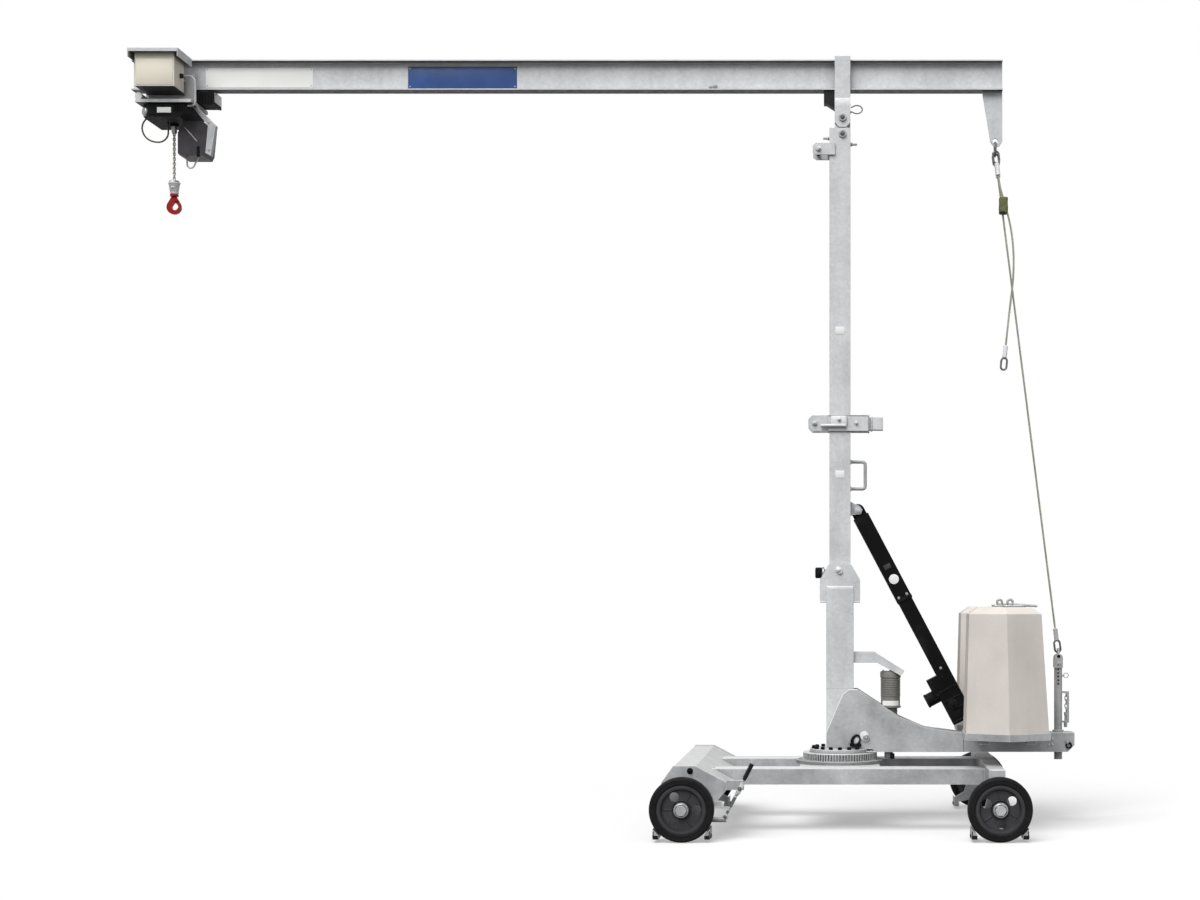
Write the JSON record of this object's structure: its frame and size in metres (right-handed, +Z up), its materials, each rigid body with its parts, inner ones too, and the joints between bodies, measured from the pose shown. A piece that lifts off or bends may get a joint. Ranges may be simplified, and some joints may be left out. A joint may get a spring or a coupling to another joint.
{
  "type": "mini jib crane",
  "caption": "Wheeled mini jib crane: slewing post and mast, I-beam jib with a trolley chain hoist, taut tail stay, and concrete counterweights on a rear arm.",
  "frame": {"origin": "centre of the overall box on the floor, midway between the jib tip and the arm tail", "axes": "+Z up, -X along the jib towards the hoist, +X towards the counterweights"},
  "size_m": [6.251, 2.1388, 5.09],
  "materials": {
    "galvanised": "hot-dip galvanised, mottled",
    "black_paint": "satin black",
    "black_housing": "fine texture",
    "beige_box": "satin",
    "concrete": "cast concrete",
    "tyre": "solid rubber",
    "rim": "moulded",
    "rope": "wire rope",
    "fitting": "zinc plated",
    "hook_red": "gloss",
    "chain": "zinc plated",
    "motor_grey": "satin",
    "rubber": "moulded",
    "cable_grey": "sheathed"
  },
  "bodies": {
    "chassis": {"brake_grip": "rubber", "brake_lever": "galvanised", "front_axle_beam": "galvanised", "rail_far": "galvanised", "rail_near": "galvanised", "rear_axle_beam": "galvanised", "ring_gear": "galvanised", "turntable_box": "galvanised", "wheel_carrier_front_far": "galvanised", "wheel_carrier_front_near": "galvanised", "wheel_carrier_rear_far": "galvanised", "wheel_carrier_rear_near": "galvanised"},
    "wheel_front_near": {"tyre_front_near": "tyre", "rim_front_near": "rim"},
    "wheel_front_far": {"tyre_front_far": "tyre", "rim_front_far": "rim"},
    "wheel_rear_near": {"tyre_rear_near": "tyre", "rim_rear_near": "rim"},
    "wheel_rear_far": {"tyre_rear_far": "tyre", "rim_rear_far": "rim"},
    "trolley": {"chain_bin": "black_housing", "control_box": "beige_box", "control_cable": "cable_grey", "control_hood": "galvanised", "hoist_body": "black_housing", "hoist_cover": "galvanised", "travel_drive": "black_housing", "trolley_frame": "galvanised", "trolley_wheels": "galvanised"},
    "hook_block": {"hook_block": "fitting", "load_chain": "chain"},
    "hook": {"hook": "hook_red", "hook_latch": "hook_red"},
    "superstructure": {"actuator_brackets": "galvanised", "actuator_sleeve": "black_paint", "actuator_tube": "black_paint", "counterweight_arm": "galvanised", "counterweight_far": "concrete", "counterweight_near": "concrete", "jib_beam": "galvanised", "jib_buffer": "rubber", "jib_lock_pin": "galvanised", "jib_strap": "galvanised", "jib_tail_plate": "galvanised", "lifting_rings": "fitting", "lock_knob": "rubber", "lower_post": "galvanised", "mast": "galvanised", "mast_handle": "galvanised", "mast_mid_clamp": "galvanised", "mast_top_bracket": "galvanised", "motor_guard": "galvanised", "slew_flange": "galvanised", "slew_motor": "motor_grey", "spare_rope": "rope", "spare_rope_ends": "fitting", "stay_fittings": "fitting", "stay_rope": "rope", "tension_tube": "galvanised", "weight_trays": "galvanised"}
  },
  "joints": [
    {"name": "slew", "type": "hinge", "parent": "chassis", "child": "superstructure", "pos_m": [1.5745, 0, 0.4734], "axis": [0, 0, 1], "continuous": true},
    {"name": "trolley_travel", "type": "slide", "parent": "superstructure", "child": "trolley", "axis": [1, 0, 0], "range_m": [0, 3.85]},
    {"name": "hook_lift", "type": "slide", "parent": "trolley", "child": "hook_block", "axis": [0, 0, 1], "range_m": [0, 0.19]},
    {"name": "hook_swivel", "type": "hinge", "parent": "hook_block", "child": "hook", "pos_m": [-2.8575, 0, 4.186], "axis": [0, 0, 1], "continuous": true},
    {"name": "spin_front_near", "type": "hinge", "parent": "chassis", "child": "wheel_front_near", "pos_m": [0.6065, -1, 0.2], "axis": [0, 1, 0], "continuous": true},
    {"name": "spin_front_far", "type": "hinge", "parent": "chassis", "child": "wheel_front_far", "pos_m": [0.6065, 1, 0.2], "axis": [0, 1, 0], "continuous": true},
    {"name": "spin_rear_near", "type": "hinge", "parent": "chassis", "child": "wheel_rear_near", "pos_m": [2.5595, -1, 0.2], "axis": [0, 1, 0], "continuous": true},
    {"name": "spin_rear_far", "type": "hinge", "parent": "chassis", "child": "wheel_rear_far", "pos_m": [2.5595, 1, 0.2], "axis": [0, 1, 0], "continuous": true}
  ]
}
